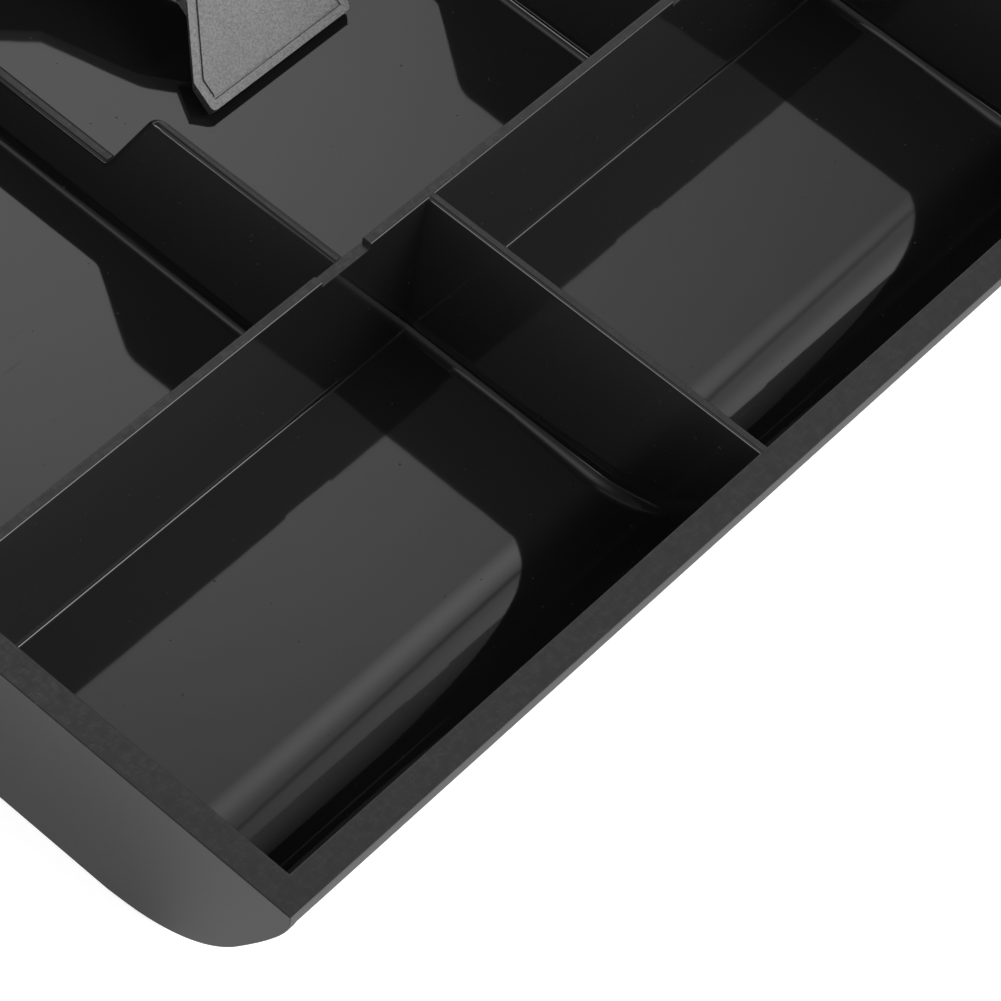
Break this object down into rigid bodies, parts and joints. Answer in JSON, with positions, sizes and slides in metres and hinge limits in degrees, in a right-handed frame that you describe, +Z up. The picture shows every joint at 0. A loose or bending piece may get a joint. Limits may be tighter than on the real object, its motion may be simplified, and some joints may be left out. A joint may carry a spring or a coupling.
{
  "type": "cash drawer insert tray",
  "caption": "Cash drawer insert tray: scooped coin cups along the front, note bays behind them, and a sprung hinged clip that presses down in each bay.",
  "frame": {"origin": "centre of the tray's underside, on the surface it stands on", "axes": "+X along the row of coin cups to the right, +Y from the coin cups to the clips' hinges, +Z up"},
  "size_m": [0.405, 0.245, 0.036],
  "materials": {
    "tray_black": "moulded gloss black with a faint orange-peel on the rims",
    "clip_black": "fine-textured matte black",
    "bracket_black": "satin black",
    "pin_steel": "bright drawn steel",
    "spring_steel": "spring wire",
    "screw_steel": "zinc plated"
  },
  "bodies": {
    "tray_body": {"tray": "tray_black", "hinge_bracket_1": "bracket_black", "hinge_bracket_2": "bracket_black", "hinge_bracket_3": "bracket_black", "hinge_bracket_4": "bracket_black", "hinge_bracket_5": "bracket_black", "hinge_pin_1": "pin_steel", "hinge_pin_2": "pin_steel", "hinge_pin_3": "pin_steel", "hinge_pin_4": "pin_steel", "hinge_pin_5": "pin_steel", "clip_spring_1": "spring_steel", "clip_spring_2": "spring_steel", "clip_spring_3": "spring_steel", "clip_spring_4": "spring_steel", "clip_spring_5": "spring_steel", "bracket_screws": "screw_steel"},
    "clip_1_body": {"note_clip_1": "clip_black"},
    "clip_2_body": {"note_clip_2": "clip_black"},
    "clip_3_body": {"note_clip_3": "clip_black"},
    "clip_4_body": {"note_clip_4": "clip_black"},
    "clip_5_body": {"note_clip_5": "clip_black"}
  },
  "joints": [
    {"name": "clip_1_lift", "type": "hinge", "parent": "tray_body", "child": "clip_1_body", "pos_m": [-0.15664, 0.1065, 0.031], "axis": [-1, 0, 0], "range_deg": [0, 85], "stiffness_Nm_per_rad": 0.06, "springref_deg": -45.84, "deforming": ["clip_spring_1"]},
    {"name": "clip_2_lift", "type": "hinge", "parent": "tray_body", "child": "clip_2_body", "pos_m": [-0.077, 0.1065, 0.031], "axis": [-1, 0, 0], "range_deg": [0, 85], "stiffness_Nm_per_rad": 0.06, "springref_deg": -45.84, "deforming": ["clip_spring_2"]},
    {"name": "clip_3_lift", "type": "hinge", "parent": "tray_body", "child": "clip_3_body", "pos_m": [0.0014, 0.1065, 0.031], "axis": [-1, 0, 0], "range_deg": [0, 85], "stiffness_Nm_per_rad": 0.06, "springref_deg": -45.84, "deforming": ["clip_spring_3"]},
    {"name": "clip_4_lift", "type": "hinge", "parent": "tray_body", "child": "clip_4_body", "pos_m": [0.0798, 0.1065, 0.031], "axis": [-1, 0, 0], "range_deg": [0, 85], "stiffness_Nm_per_rad": 0.06, "springref_deg": -45.84, "deforming": ["clip_spring_4"]},
    {"name": "clip_5_lift", "type": "hinge", "parent": "tray_body", "child": "clip_5_body", "pos_m": [0.15944, 0.1065, 0.031], "axis": [-1, 0, 0], "range_deg": [0, 85], "stiffness_Nm_per_rad": 0.06, "springref_deg": -45.84, "deforming": ["clip_spring_5"]}
  ]
}
